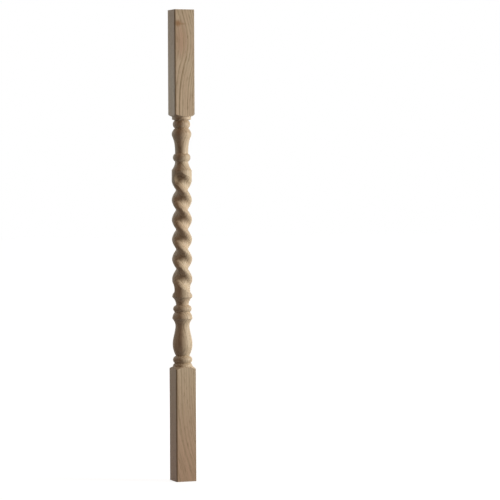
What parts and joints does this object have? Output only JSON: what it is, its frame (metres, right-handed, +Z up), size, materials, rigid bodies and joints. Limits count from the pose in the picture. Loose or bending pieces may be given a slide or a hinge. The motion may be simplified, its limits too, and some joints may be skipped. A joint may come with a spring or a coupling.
{
  "type": "stair baluster",
  "caption": "Slender turned stair baluster with square head and foot blocks, beaded vase turnings and a left-hand barley twist along its middle.",
  "frame": {"origin": "centre of the sawn foot end, where the baluster stands", "axes": "+Z up along the turning's axis towards the head; X and Y square to the faces of the blocks, with -Y the front face"},
  "size_m": [0.0406, 0.0406, 0.9],
  "materials": {
    "oak": "bare sanded oak, matt"
  },
  "bodies": {
    "root": {"baluster": "oak"}
  },
  "joints": []
}
